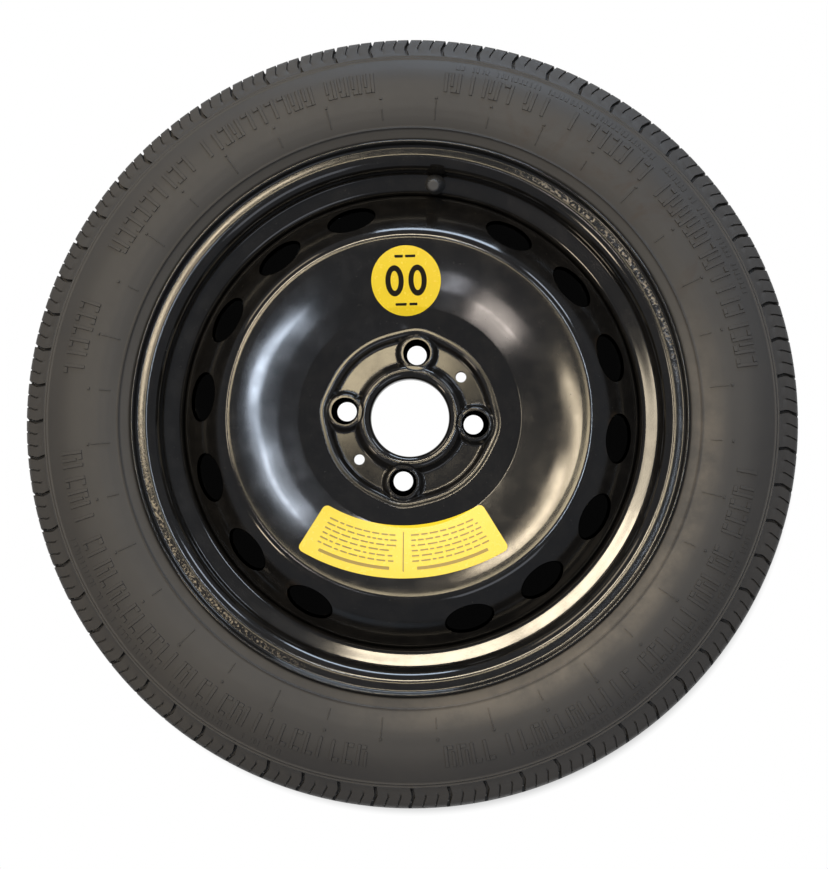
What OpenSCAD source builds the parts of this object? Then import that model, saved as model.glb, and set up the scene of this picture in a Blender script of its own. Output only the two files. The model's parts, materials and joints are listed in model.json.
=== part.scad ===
// Space saver spare wheel: a narrow temporary tyre on a pressed and rolled steel wheel.
// The wheel lies on its inboard side. Z is its axle, with the outboard face up, and the
// origin is on the axle in the middle plane of the rim.

/* [Tyre] */
// Outer diameter over the tread
tyre_diameter = 581; // [570:1:596]
// Widest section of the tyre
tyre_width = 125; // [120:1:130]
// Height from the middle plane to where the tread turns into the sidewall
tread_half_width = 45; // [40:1:47]
// Depth of the tread grooves
tread_depth = 5; // [3:0.5:7]
// Width of the grooves that run round the tread
tread_groove_width = 6; // [3:0.5:8]
// Distance from the middle plane to the outer pair of round grooves
tread_groove_spacing = 19; // [14:0.5:22]
// Number of shoulder blocks on each side
shoulder_blocks = 64; // [48:1:72]
// Width of the slots between shoulder blocks
shoulder_slot_width = 2.2; // [1:0.1:3]
// Thickness of the sidewall
sidewall_thickness = 8; // [5:0.5:10]
// Thickness under the tread pattern
undertread_thickness = 9; // [7:0.5:11]

/* [Rim] */
// Diameter of the bead seats
bead_seat_diameter = 380.2; // [378:0.1:382]
// Width between the two flanges
rim_width = 101.6; // [95:0.1:105]
// Height of the flanges over the bead seats
flange_height = 17.3; // [16.5:0.1:18.5]
// Radius of the curl of each flange
flange_curl = 9.5; // [8.5:0.1:10]
// Thickness of the rim steel
rim_thickness = 2.5; // [1.8:0.1:3]
// Depth of the well under the bead seats
well_depth = 16.2; // [15:0.1:17]

/* [Disc] */
// Thickness of the disc steel
disc_thickness = 3.5; // [2.5:0.1:4]
// Distance from the middle plane to the face that meets the hub
hub_offset = 35; // [30:0.5:38]
// Diameter of the centre bore
bore_diameter = 58.1; // [54:0.1:60.1]
// Height of the crown ring over the hub face
crown_rise = 22.5; // [19:0.5:23.5]
// Radius of the crown ring
crown_radius = 138; // [132:1:142]
// Radius of the circle of vents
vent_radius = 156; // [154:0.5:157]
// Number of places for vents, two of which stay plain
vent_places = 16; // [14:2:18]
// Length of a vent round the wheel
vent_length = 35.5; // [26:0.5:38]
// Width of a vent across the flank
vent_width = 22; // [14:0.5:23]
// Number of weld beads between the disc and the rim
weld_beads = 8; // [4:1:12]

/* [Bolts] */
// Number of wheel bolts
bolt_count = 4; // [3:1:4]
// Diameter of the bolt circle
bolt_circle = 98; // [96:0.5:100]
// Diameter of the bolt holes
bolt_hole = 14.7; // [12:0.1:15.5]
// Mouth of the cone that each bolt seats in
bolt_seat = 19.5; // [18:0.1:21]
// Height of the bolt bosses over the floor between them
boss_rise = 5; // [3:0.5:6]
// Diameter of the two locating holes
pilot_hole = 8; // [6:0.1:9]
// Angle of the valve and the first bolt hole round the axle
clock_angle = 84; // [80:1:88]
// Angle of the first locating hole round the axle
pilot_angle = 39; // [35:1:43]

/* [Valve] */
// Diameter of the valve hole in the rim
valve_hole = 11.3; // [10.5:0.1:12]
// Radius from the axle to the valve hole in the wall of the well
valve_radius = 180; // [179.4:0.1:180.6]
// Height of the brass stem over the rim
stem_height = 22; // [21:0.5:23]
// Outer diameter of the threaded end of the stem
stem_diameter = 7.7; // [7.5:0.1:8.2]
// Diameter of the chamber that the valve core screws into
core_chamber = 5.2; // [5:0.1:5.4]
// Diameter of the core pin
pin_diameter = 1; // [0.8:0.1:1.2]
// Travel of the core pin
pin_travel = 1.2; // [0.8:0.1:1.4]
// Diameter of the spring wire
spring_wire = 0.3; // [0.2:0.05:0.35]
// Number of turns of the core spring
spring_turns = 5; // [3:1:6]
// Outer diameter of the cap
cap_diameter = 9.8; // [9.6:0.1:10.6]
// Thickness of the washer inside the cap
cap_seal_thickness = 0.8; // [0.5:0.1:1]

/* [Stickers] */
// Diameter of the round speed sticker
speed_sticker_diameter = 52; // [40:1:54]
// Radius from the axle to the middle of the speed sticker
speed_sticker_radius = 102; // [99:0.5:104]
// Inner radius of the curved sticker's own arcs
notice_inner = 111; // [108:0.5:114]
// Width of the curved sticker
notice_width = 39.5; // [30:0.5:41]
// Half the angle that the curved sticker spans about its own centre
notice_half_angle = 31.4; // [20:0.2:32]
// Corner radius of the curved sticker
notice_corner = 4; // [2:0.5:6]
// Thickness of the sticker film
film_thickness = 0.2; // [0.1:0.05:0.4]

/* [Hidden] */
$fn = 96;

// Clearances between pieces
bead_gap = 0.15;
weld_gap = 0.15;
film_gap = 0.03;
thread_gap = 0.1;
running_gap = 0.08;
seal_gap = 0.05;
// Length by which a cutter runs past what it cuts
past = 1;

// Rim
seat_r = bead_seat_diameter / 2;
flange_r = seat_r + flange_height;
half_rim = rim_width / 2;
flange_z = half_rim + flange_curl + 0.6;
seat_taper = tan(5);
heel_fillet = 6.5;
well_r = seat_r - well_depth;
well_inner_r = well_r - rim_thickness;
// Heights of the outboard and inboard ends of the well, and of the bead seats' inner ends
well_top_z = 30.5;
seat_top_z = 34;
well_end_z = -2;
ledge_z = -24;
seat_end_z = -32;
seat_top_r = seat_r - (half_rim - seat_top_z) * seat_taper;
wall_slope = (seat_top_z - well_top_z) / (seat_top_r - well_r);

// Disc
floor_z = hub_offset + disc_thickness;
bore_r = bore_diameter / 2;
bolt_r = bolt_circle / 2;
crown_z = hub_offset + crown_rise;
disc_edge_r = well_inner_r - weld_gap;
disc_edge_z = 7;
flank_foot_z = 31.5;
// Radii of the crest round the bore, the floor, and the ring that borders the pad
crest_r = bore_r + 8.5;
floor_in_r = bolt_r - 7;
floor_out_r = bolt_r + 8.5;
pad_ring_r = bolt_r + 12;
pad_edge_r = bolt_r + 16.5;
crest_z = floor_z + 7.5;
pad_ring_z = floor_z + 4.5;
bowl_r = pad_edge_r + 14.5;
bowl_z = floor_z + 9.5;
dome_r = (bowl_r + crown_radius) / 2;
dome_z = crown_z - 0.4 * (crown_z - bowl_z);
crown_fillet = 10;
flank_slope = (crown_z - flank_foot_z) / (disc_edge_r - crown_radius);
boss_foot = 15.5;
boss_top = 12.5;
boss_wall = 0.7;
boss_z = floor_z + boss_rise;
// Depth to which the bosses reach under the floor, and their taper
boss_root = 1;
boss_taper = (boss_foot - boss_top) / boss_rise;
seat_depth = (bolt_seat - bolt_hole) / 2 / tan(30);
// Height of the collar that each bolt hole has under its seat
collar_depth = 2;

// Tyre
tyre_r = tyre_diameter / 2;
half_tyre = tyre_width / 2;
crown_drop = 2.2;
shoulder_r = tyre_r - crown_drop;
groove_r = tyre_r - tread_depth;
carcass_r = groove_r - undertread_thickness;
// Height of the section over the rim's flange, which the sidewall's curves share out
section = shoulder_r - flange_r;

// Valve: it stands square on the wall of the well, and z = 0 is the outboard face of the wall
valve_lean = atan(wall_slope);
valve_foot_r = valve_radius - rim_thickness * sin(valve_lean);
valve_z = well_top_z + (valve_radius - well_r) * wall_slope + rim_thickness * cos(valve_lean);
neck_r = valve_hole / 2 - seal_gap;
stem_r = stem_diameter / 2;
chamber_r = core_chamber / 2;
air_r = 1.6;
rubber_top = 12;
stem_foot = -5.5;
stem_neck_r = stem_r - 0.85;
core_foot = 7.5;
barrel_r = chamber_r - thread_gap;
sleeve_r = 1.9;
spring_room_r = 1.35;
pin_r = pin_diameter / 2;
bridge = 0.9;
collar_r = 1.1;
collar_z = 14.6;
cup_seal_height = 1.4;
cup_seal_r = 1.75;
cup_height = 0.8;
cap_bore_r = stem_r + thread_gap;
cap_foot = rubber_top + 0.6;
cap_roof = stem_height + seal_gap + cap_seal_thickness + seal_gap;
cap_top = cap_roof + 1.4;
cap_r = cap_diameter / 2;

// Points along a circle of radius r about m, from angle a through a sweep of s
function arc(m, r, a, s, n) = [for (i = [0:n]) m + r * [cos(a + s * i / n), sin(a + s * i / n)]];

function unit(v) = v / norm(v);

// The corner at b between a and c, rounded to radius r
function corner(a, b, c, r, n) =
    let (
        u = unit(a - b),
        v = unit(c - b),
        half = acos(u * v) / 2,
        m = b + unit(u + v) * r / sin(half),
        p = b + u * r / tan(half) - m,
        q = b + v * r / tan(half) - m,
        a0 = atan2(p.y, p.x),
        sweep = (atan2(q.y, q.x) - a0 + 540) % 360 - 180
    )
    arc(m, r, a0, sweep, n);

// A path through points [x, y, radius], each rounded to its own radius
function rounded(pts, n = 5) = [
    for (i = [0:len(pts) - 1])
        let (p = pts[i], b = [p.x, p.y])
        each p.z == 0 ? [b] : corner([pts[i - 1].x, pts[i - 1].y], b, [pts[i + 1].x, pts[i + 1].y], p.z, n)
];

// The path moved to its right by t
function shifted(path, t) = [
    for (i = [0:len(path) - 1])
        let (
            u = unit(path[max(i, 1)] - path[max(i, 1) - 1]),
            v = unit(path[min(i, len(path) - 2) + 1] - path[min(i, len(path) - 2)]),
            h = unit(u + v)
        )
        path[i] + [h.y, -h.x] * t / (h * u)
];

function reversed(list) = [for (i = [len(list) - 1:-1:0]) list[i]];
function flipped(path) = [for (p = reversed(path)) [p.x, -p.y]];

// The outline between a path's copies at a and b to its right
function band(path, a, b) = concat(shifted(path, a), reversed(shifted(path, b)));

// Front face of the disc from the bore to its edge in the well, as [radius, height, fillet]
disc_front = rounded([
    [bore_r, hub_offset, 0],
    [bore_r, crest_z, 5.4],
    [crest_r, crest_z, 4.2],
    [floor_in_r, floor_z, 2.5],
    [floor_out_r, floor_z, 2.5],
    [pad_ring_r, pad_ring_z, 4.2],
    [pad_edge_r, pad_ring_z, 3],
    [bowl_r, bowl_z, 14],
    [dome_r, dome_z, 60],
    [crown_radius, crown_z, crown_fillet],
    [disc_edge_r, flank_foot_z, 9],
    [disc_edge_r, disc_edge_z, 0]
]);

// Tyre side of the rim from the outboard flange to the inboard one
rim_path = rounded([
    [flange_r, flange_z, 0],
    [flange_r, half_rim, flange_curl],
    [seat_r, half_rim, heel_fillet],
    [seat_top_r, seat_top_z, 5],
    [well_r, well_top_z, 4],
    [well_r, well_end_z, 10],
    [seat_r - 3, ledge_z, 10],
    [seat_r - (half_rim + seat_end_z) * seat_taper, seat_end_z, 20],
    [seat_r, -half_rim, heel_fillet],
    [flange_r, -half_rim, flange_curl],
    [flange_r, -flange_z, 0]
]);

// Outside of half the tyre, from the bead's toe up the sidewall to the tread's edge
tyre_half = rounded([
    [seat_r + bead_gap, seat_top_z + 3, 0],
    [seat_r + bead_gap, half_rim - bead_gap, heel_fillet + 0.3],
    [seat_r + 13.4, half_rim - bead_gap, flange_curl + bead_gap],
    [flange_r + 0.6, flange_z - 2.1, 3],
    [flange_r + 0.303 * section, half_tyre + 0.5, 0.74 * section],
    [flange_r + 0.624 * section, half_tyre - 1, 0.5 * section],
    [shoulder_r - 0.152 * section, tread_half_width + 5.5, 0.15 * section],
    [shoulder_r, tread_half_width, 0.074 * section],
    [shoulder_r + 0.1, tread_half_width - 8, 0]
]);
tread_steps = 8;
tread_arc = [
    for (i = [1:tread_steps - 1])
        let (z = (tread_half_width - 8) * (1 - 2 * i / tread_steps))
        [tyre_r - crown_drop * pow(z / tread_half_width, 2), z]
];

// Inside of half the carcass, from the bead's toe to the middle of the tread
carcass_half = rounded([
    [seat_r + bead_gap, seat_top_z + 3, 0],
    [seat_r + 8, seat_top_z + 5, 6],
    [flange_r + 4, half_tyre - sidewall_thickness - 4, 12],
    [flange_r + 0.445 * section, half_tyre - sidewall_thickness, 0.74 * section],
    [carcass_r, tread_half_width - 8, 0.22 * section],
    [carcass_r, 0, 0]
]);

tyre_outline = concat(
    tyre_half,
    tread_arc,
    flipped(tyre_half),
    [for (i = [1:len(carcass_half) - 2]) [carcass_half[i].x, -carcass_half[i].y]],
    reversed([for (i = [1:len(carcass_half) - 2]) carcass_half[i]])
);

// Places a shape at radius r and angle a round the axle
module around(r, a, z = 0) {
    rotate([0, 0, a])
        translate([r, 0, z])
            children();
}

// One slot across the shoulder, as the outline of its depth swept over its width
module shoulder_slot() {
    rotate([90, 0, 0])
        linear_extrude(shoulder_slot_width, center = true)
            polygon([
                [groove_r + 1, tread_groove_spacing + 9],
                [groove_r, tread_half_width - 6],
                [shoulder_r - 0.17 * section, tread_half_width + 5],
                [shoulder_r - 0.17 * section, half_tyre],
                [tyre_r + past, half_tyre],
                [tyre_r + past, tread_groove_spacing + 9]
            ]);
}

module tyre() {
    slot_pitch = 360 / shoulder_blocks;
    color([0.16, 0.155, 0.145])
        difference() {
            rotate_extrude($fn = 192)
                polygon(tyre_outline);
            for (z = [-tread_groove_spacing, 0, tread_groove_spacing])
                rotate_extrude($fn = 192)
                    translate([groove_r, z - tread_groove_width / 2])
                        square([tread_depth + past, tread_groove_width]);
            for (i = [0:shoulder_blocks - 1]) {
                rotate([0, 0, i * slot_pitch])
                    shoulder_slot();
                rotate([0, 0, (i + 0.5) * slot_pitch])
                    mirror([0, 0, 1])
                        shoulder_slot();
            }
        }
}

// Places a valve piece on its seat on the rim
module on_valve() {
    around(valve_foot_r, clock_angle, valve_z)
        rotate([0, -valve_lean, 0])
            children();
}

// The rolled rim, thicker by g on both sides, with a hole of radius r for the valve
module rim_shell(g, r) {
    difference() {
        rotate_extrude($fn = 192)
            polygon(band(rim_path, -g, rim_thickness + g));
        on_valve()
            translate([0, 0, -2 * rim_thickness])
                cylinder(r = r, h = 4 * rim_thickness);
    }
}

module rim() {
    color([0.045, 0.045, 0.05])
        rim_shell(0, valve_hole / 2);
}

// All that lies under the front face moved down by t, with the bolt bosses, down to height z
module under_disc(t, z) {
    path = shifted(disc_front, t);
    last = path[len(path) - 1];
    rotate_extrude($fn = 192)
        polygon(concat(path, [[last.x, z], [path[0].x, z]]));
    for (i = [0:bolt_count - 1])
        around(bolt_r, clock_angle + i * 360 / bolt_count, floor_z - t - boss_root)
            cylinder(
                r1 = boss_foot + boss_root * boss_taper - boss_wall * t,
                r2 = boss_top - boss_wall * t,
                h = boss_root + boss_rise
            );
}

// A vent's punch, across the flank
module vent_punch() {
    a = vent_width / 2;
    b = vent_length / 2;
    translate([0, 0, -disc_thickness - 4])
        linear_extrude(disc_thickness + 8)
            polygon([for (i = [0:35]) [a * cos(i * 10), b * sin(i * 10)]]);
}

module wheel_disc() {
    vent_z = crown_z - (vent_radius - crown_radius) * flank_slope;
    collar_z = boss_z - seat_depth - collar_depth;
    color([0.04, 0.04, 0.045])
        difference() {
            under_disc(0, disc_edge_z);
            difference() {
                under_disc(disc_thickness, disc_edge_z - past);
                for (i = [0:bolt_count - 1])
                    around(bolt_r, clock_angle + i * 360 / bolt_count, collar_z)
                        cylinder(r = bolt_seat / 2 + 1, h = seat_depth + collar_depth);
            }
            translate([0, 0, disc_edge_z - past])
                cylinder(r = pad_edge_r, h = hub_offset - disc_edge_z + past);
            for (i = [0:bolt_count - 1])
                around(bolt_r, clock_angle + i * 360 / bolt_count) {
                    translate([0, 0, hub_offset - past])
                        cylinder(d = bolt_hole, h = boss_rise + disc_thickness + 2 * past);
                    translate([0, 0, boss_z - seat_depth])
                        cylinder(d1 = bolt_hole, d2 = bolt_seat, h = seat_depth);
                }
            for (i = [0, 1])
                around(bolt_r, pilot_angle + i * 180, hub_offset - past)
                    cylinder(d = pilot_hole, h = disc_thickness + 2 * past + 3);
            for (i = [1:vent_places - 1])
                if (i != vent_places / 2)
                    around(vent_radius, clock_angle + i * 360 / vent_places, vent_z)
                        rotate([0, atan(flank_slope), 0])
                            vent_punch();
        }
}

// Fillet welds between the end of the disc and the well
module disc_welds() {
    bead_angle = 16;
    leg = 4;
    color([0.06, 0.06, 0.065])
        for (i = [0:weld_beads - 1])
            rotate([0, 0, (i + 0.5) * 360 / weld_beads - bead_angle / 2])
                rotate_extrude(angle = bead_angle, $fn = 192)
                    polygon([
                        [well_inner_r - weld_gap, disc_edge_z],
                        [well_inner_r - weld_gap, disc_edge_z - leg],
                        [well_inner_r - weld_gap - leg * 0.55, disc_edge_z - leg * 0.55],
                        [well_inner_r - weld_gap - disc_thickness, disc_edge_z]
                    ]);
}

// Outside of the brass stem, larger by g, with its ends moved out by e
module stem_form(g, e) {
    rotate_extrude()
        polygon([
            [0, stem_foot - e],
            [stem_r + g, stem_foot - e],
            [stem_r + g, stem_foot + 1.5],
            [stem_neck_r + g, stem_foot + 2.2],
            [stem_neck_r + g, rubber_top - 3],
            [stem_r + g, rubber_top - 2.3],
            [stem_r + g, stem_height - 0.6],
            [stem_r + g - 0.6, stem_height + e],
            [0, stem_height + e]
        ]);
}

// Snap-in rubber body, whose groove and flanges are pressed against the wall of the rim
module valve_body() {
    color([0.07, 0.07, 0.07])
        difference() {
            on_valve()
                difference() {
                    rotate_extrude()
                        polygon([
                            [0, stem_foot],
                            [6.2, stem_foot - 0.6],
                            [7.3, -rim_thickness - 1.4],
                            [7.3, -rim_thickness],
                            [neck_r, -rim_thickness],
                            [neck_r, 0],
                            [7.4, 0],
                            [7.6, 1.2],
                            [6.6, 4.5],
                            [5.6, rubber_top - 2],
                            [5.2, rubber_top - 0.4],
                            [4.8, rubber_top],
                            [0, rubber_top]
                        ]);
                    stem_form(seal_gap, past);
                }
            rim_shell(seal_gap, neck_r);
        }
}

module valve_stem() {
    color([0.72, 0.6, 0.32])
        on_valve()
            difference() {
                stem_form(0, 0);
                translate([0, 0, stem_foot - past])
                    cylinder(r = air_r, h = stem_height);
                translate([0, 0, core_foot - cup_seal_height - cup_height - pin_travel - 1])
                    cylinder(r = cup_seal_r + 0.45, h = stem_height);
                translate([0, 0, collar_z - 2.2])
                    cylinder(r1 = cup_seal_r + 0.45, r2 = chamber_r, h = 1);
                translate([0, 0, collar_z - 1.2])
                    cylinder(r = chamber_r, h = stem_height);
            }
}

// Threaded plug and sleeve of the core, open through the middle
module core_barrel() {
    plug_z = collar_z + 1.2;
    plug_top = stem_height - 1.6;
    color([0.75, 0.63, 0.35])
        on_valve()
            difference() {
                union() {
                    translate([0, 0, plug_z])
                        cylinder(r = barrel_r, h = plug_top - plug_z);
                    translate([0, 0, core_foot])
                        cylinder(r = sleeve_r, h = plug_z - core_foot);
                }
                translate([0, 0, core_foot - past])
                    cylinder(r = pin_r + running_gap + 0.12, h = plug_top);
                translate([0, 0, core_foot + bridge])
                    cylinder(r = spring_room_r, h = plug_top);
            }
}

// Seal ring round the sleeve, against the taper of the stem
module core_gasket() {
    color([0.85, 0.2, 0.15])
        on_valve()
            difference() {
                translate([0, 0, collar_z - 1.1])
                    cylinder(r = chamber_r - seal_gap, h = 2.2);
                translate([0, 0, collar_z - 1.1 - past])
                    cylinder(r = sleeve_r + seal_gap, h = 2.2 + 2 * past);
            }
}

// Pin with its collar and the cup that carries the seal
module core_pin() {
    foot = core_foot - seal_gap - cup_seal_height - cup_height;
    color([0.78, 0.68, 0.4])
        on_valve() {
            translate([0, 0, foot])
                cylinder(r = pin_r, h = stem_height - 0.4 - foot);
            translate([0, 0, foot])
                cylinder(r = cup_seal_r, h = cup_height);
            translate([0, 0, collar_z])
                cylinder(r = collar_r, h = 0.6);
        }
}

module core_cup_seal() {
    color([0.08, 0.08, 0.08])
        on_valve()
            translate([0, 0, core_foot - seal_gap - cup_seal_height])
                difference() {
                    cylinder(r = cup_seal_r, h = cup_seal_height);
                    translate([0, 0, -past])
                        cylinder(r = pin_r + seal_gap, h = cup_seal_height + 2 * past);
                }
}

// Coil round the pin, between the bridge of the barrel and the collar
module core_spring() {
    sides = 6;
    per_turn = 16;
    wire_r = spring_wire / 2;
    coil_r = (pin_r + spring_room_r) / 2;
    low = core_foot + bridge + wire_r + seal_gap;
    high = collar_z - wire_r - seal_gap;
    steps = spring_turns * per_turn;
    rings = [
        for (i = [0:steps], k = [0:sides - 1])
            let (a = i * 360 / per_turn, t = k * 360 / sides, r = coil_r + wire_r * cos(t))
            [r * cos(a), r * sin(a), low + (high - low) * i / steps + wire_r * sin(t)]
    ];
    walls = [
        for (i = [0:steps - 1], k = [0:sides - 1])
            let (j = (k + 1) % sides)
            each [
                [i * sides + k, (i + 1) * sides + k, (i + 1) * sides + j],
                [i * sides + k, (i + 1) * sides + j, i * sides + j]
            ]
    ];
    ends = [
        [for (k = [0:sides - 1]) k],
        [for (k = [sides - 1:-1:0]) steps * sides + k]
    ];
    color([0.7, 0.7, 0.72])
        on_valve()
            polyhedron(rings, concat(walls, ends));
}

module valve_cap() {
    ribs = 16;
    color([0.13, 0.13, 0.13])
        on_valve()
            difference() {
                union() {
                    rotate_extrude()
                        polygon(concat(
                            [[0, cap_foot], [cap_r - 0.3, cap_foot], [cap_r - 0.3, cap_top - 1.6]],
                            arc([cap_r - 1.9, cap_top - 1.6], 1.6, 0, 90, 6),
                            [[0, cap_top]]
                        ));
                    for (i = [0:ribs - 1])
                        rotate([0, 0, i * 360 / ribs])
                            translate([cap_r - 0.7, -0.4, cap_foot + 0.5])
                                cube([0.7, 0.8, cap_top - cap_foot - 2.6]);
                }
                translate([0, 0, cap_foot - past])
                    cylinder(r = cap_bore_r, h = cap_roof - cap_foot + past);
            }
}

module cap_seal() {
    color([0.3, 0.3, 0.3])
        on_valve()
            translate([0, 0, stem_height + seal_gap])
                difference() {
                    cylinder(r = cap_bore_r - seal_gap, h = cap_seal_thickness);
                    translate([0, 0, -past])
                        cylinder(r = 1, h = cap_seal_thickness + 2 * past);
                }
}

// Film that lies on the front face of the disc
module disc_film() {
    rotate_extrude($fn = 192)
        polygon(band(
            [for (p = disc_front) if (p.x > bowl_r - 8 && p.x < crown_radius) p],
            -film_gap - film_thickness,
            -film_gap
        ));
}

module speed_sticker() {
    lean = atan((crown_z - bowl_z) / (crown_radius - bowl_r));
    color([0.97, 0.88, 0.1])
        intersection() {
            disc_film();
            around(speed_sticker_radius, clock_angle + 7.4, bowl_z)
                rotate([0, -lean, 0])
                    cylinder(d = speed_sticker_diameter, h = 40, center = true);
        }
}

// Sector of a ring about its own centre, with round corners
function sector(r1, r2, half, c) =
    let (
        a1 = asin(c / (r1 + c)),
        a2 = asin(c / (r2 - c))
    )
    concat(
        arc([0, 0], r1, half - a1, 2 * a1 - 2 * half, 16),
        arc((r1 + c) * [cos(a1 - half), sin(a1 - half)], c, 180 + a1 - half, a1 - 90, 5),
        arc((r2 - c) * [cos(a2 - half), sin(a2 - half)], c, 270 - half, 90 + a2, 5),
        arc([0, 0], r2, a2 - half, 2 * half - 2 * a2, 16),
        arc((r2 - c) * [cos(half - a2), sin(half - a2)], c, half - a2, 90 + a2, 5),
        arc((r1 + c) * [cos(half - a1), sin(half - a1)], c, half + 90, 90 - a1, 5)
    );

module notice_sticker() {
    color([0.97, 0.88, 0.1])
        intersection() {
            disc_film();
            translate([-4.5, 30, 0])
                rotate([0, 0, -90])
                    linear_extrude(80)
                        polygon(sector(notice_inner, notice_inner + notice_width,
                            notice_half_angle, notice_corner));
        }
}

tyre();
rim();
wheel_disc();
disc_welds();
valve_body();
valve_stem();
core_barrel();
core_gasket();
core_pin();
core_cup_seal();
core_spring();
valve_cap();
cap_seal();
speed_sticker();
notice_sticker();
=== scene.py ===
import json
import math

import bpy
import numpy as np
from mathutils import Matrix, Quaternion, Vector


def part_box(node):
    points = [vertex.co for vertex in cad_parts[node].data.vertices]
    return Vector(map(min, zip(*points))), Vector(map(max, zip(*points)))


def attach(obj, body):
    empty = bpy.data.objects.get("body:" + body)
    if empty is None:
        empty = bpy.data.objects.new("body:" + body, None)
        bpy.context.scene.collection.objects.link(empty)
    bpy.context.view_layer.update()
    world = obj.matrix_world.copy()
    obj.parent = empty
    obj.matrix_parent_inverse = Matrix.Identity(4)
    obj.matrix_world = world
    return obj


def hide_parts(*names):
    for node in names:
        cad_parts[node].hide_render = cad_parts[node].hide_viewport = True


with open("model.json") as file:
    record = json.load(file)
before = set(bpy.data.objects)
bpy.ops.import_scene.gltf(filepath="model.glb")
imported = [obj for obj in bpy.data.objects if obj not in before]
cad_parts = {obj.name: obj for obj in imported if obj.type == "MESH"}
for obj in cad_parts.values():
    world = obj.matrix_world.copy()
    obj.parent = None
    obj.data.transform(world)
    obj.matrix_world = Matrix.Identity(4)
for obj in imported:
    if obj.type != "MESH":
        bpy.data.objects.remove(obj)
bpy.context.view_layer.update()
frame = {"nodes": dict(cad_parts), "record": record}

MM = 0.001

# Sizes that the frame gives
rim_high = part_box("rim")[1]
disc_low, disc_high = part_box("wheel_disc")
FLANGE_R = rim_high.x / MM
FLANGE_Z = rim_high.z / MM
DISC_R = disc_high.x / MM
DISC_EDGE_Z = disc_low.z / MM
MOUNTS = {m["name"]: m for m in frame["record"]["mounts"]}
BORE_R = MOUNTS["hub_bore"]["dims"]["r_mm"]
BOLT_R = MOUNTS["wheel_bolts"]["dims"]["pcd_mm"] / 2
BOLT_COUNT = MOUNTS["wheel_bolts"]["dims"]["count"]
BOLT_HOLE_R = MOUNTS["wheel_bolts"]["dims"]["hole_r_mm"]
PILOT_R = MOUNTS["locating_holes"]["dims"]["hole_r_mm"]
HUB_Z = MOUNTS["hub_face"]["pos_m"][2] / MM

# Sizes of the disc. CLOCK is the angle of the valve, of the first bolt and of the first gap in the vents.
CLOCK = math.radians(84)
PILOT_ANGLE = math.radians(39)
DISC_T = 3.5
FLOOR_Z = HUB_Z + DISC_T
CREST_R = 37.55
CREST_Z = 46
RING_IN_R = 61
RING_OUT_R = 65.5
RING_Z = 43
BOWL_R = 80
BOWL_Z = 48
DOME_Z = 53.7
CROWN_R = 138
CROWN_Z = 57.5
FLANK_FOOT_Z = 31.5
BOSS_FOOT = 15.5
BOSS_TOP = 12.5
BOSS_Z = 43.5
SEAT_R = 9.75
SEAT_DEPTH = 4.157
VENT_PLACES = 16
VENT_R = 156
VENT_LENGTH = 35.5
VENT_WIDTH = 22

# Sizes of the rim
SEAT_BEAD_R = 190.1
HALF_RIM = 50.8
CURL = 9.5
LIP_CURL = 5
LIP_BEND = 8.8
RIM_T = 2.5
WELL_R = 173.9
VALVE_R = 180
VALVE_HOLE_R = 5.65

# Sizes of the tyre
TYRE_R = 290.5
HALF_TYRE = 62.5
TREAD_HALF = 45
CROWN_DROP = 2.2
SHOULDER_R = TYRE_R - CROWN_DROP
TREAD_DEPTH = 5
GROOVE_WIDTH = 6
GROOVE_Z = 19
BLOCKS = 64
SLOT_WIDTH = 2.2
SIDEWALL_T = 8
UNDERTREAD = 9
DECOR_R = 272


# Paths


def unit(v):
    return v / np.linalg.norm(v)


def arc_corner(a, b, c, r, step):
    """The corner at b rounded to radius r, as points no more than step degrees apart."""
    u, v = unit(a - b), unit(c - b)
    half = math.acos(np.clip(u @ v, -1, 1)) / 2
    m = b + unit(u + v) * r / math.sin(half)
    p, q = b + u * r / math.tan(half) - m, b + v * r / math.tan(half) - m
    a0 = math.atan2(p[1], p[0])
    sweep = (math.atan2(q[1], q[0]) - a0 + 3 * math.pi) % (2 * math.pi) - math.pi
    n = max(2, math.ceil(abs(math.degrees(sweep)) / step))
    t = a0 + sweep * np.linspace(0, 1, n + 1)
    return m + r * np.column_stack([np.cos(t), np.sin(t)])


def rounded(corners, step=7.5, longest=None):
    """A path through corners (x, y, radius). longest(x) is the longest segment wanted at x."""
    pts = []
    for i, (x, y, r) in enumerate(corners):
        b = np.array([x, y], float)
        if r == 0:
            pts.append(b[None])
        else:
            a, c = np.array(corners[i - 1][:2], float), np.array(corners[i + 1][:2], float)
            pts.append(arc_corner(a, b, c, r, step))
    path = np.vstack(pts)
    if longest is None:
        return path
    out = [path[0]]
    for p, q in zip(path[:-1], path[1:]):
        n = max(1, math.ceil(np.linalg.norm(q - p) / longest((p[0] + q[0]) / 2)))
        out += [p + (q - p) * k / n for k in range(1, n + 1)]
    return np.array(out)


def smooth_max(a, b, k):
    """The larger of the two, with a blend of width k where they cross."""
    h = np.clip(0.5 + 0.5 * (a - b) / k, 0, 1)
    return b + (a - b) * h + k * h * (1 - h)


def smooth_min(a, b, k):
    return -smooth_max(-a, -b, k)


def bell(x, width):
    """One at zero, falling to nothing over a few widths."""
    return np.exp(-((x / width) ** 2))


def turn_gap(angle, places):
    """Signed angle to the nearest of the places."""
    gap = (np.asarray(angle)[..., None] - np.asarray(places) + math.pi) % (2 * math.pi) - math.pi
    return np.take_along_axis(gap, np.abs(gap).argmin(-1)[..., None], -1)[..., 0]


# Meshes

SHARP_FROM = math.radians(34)
HALVINGS = 24


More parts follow.
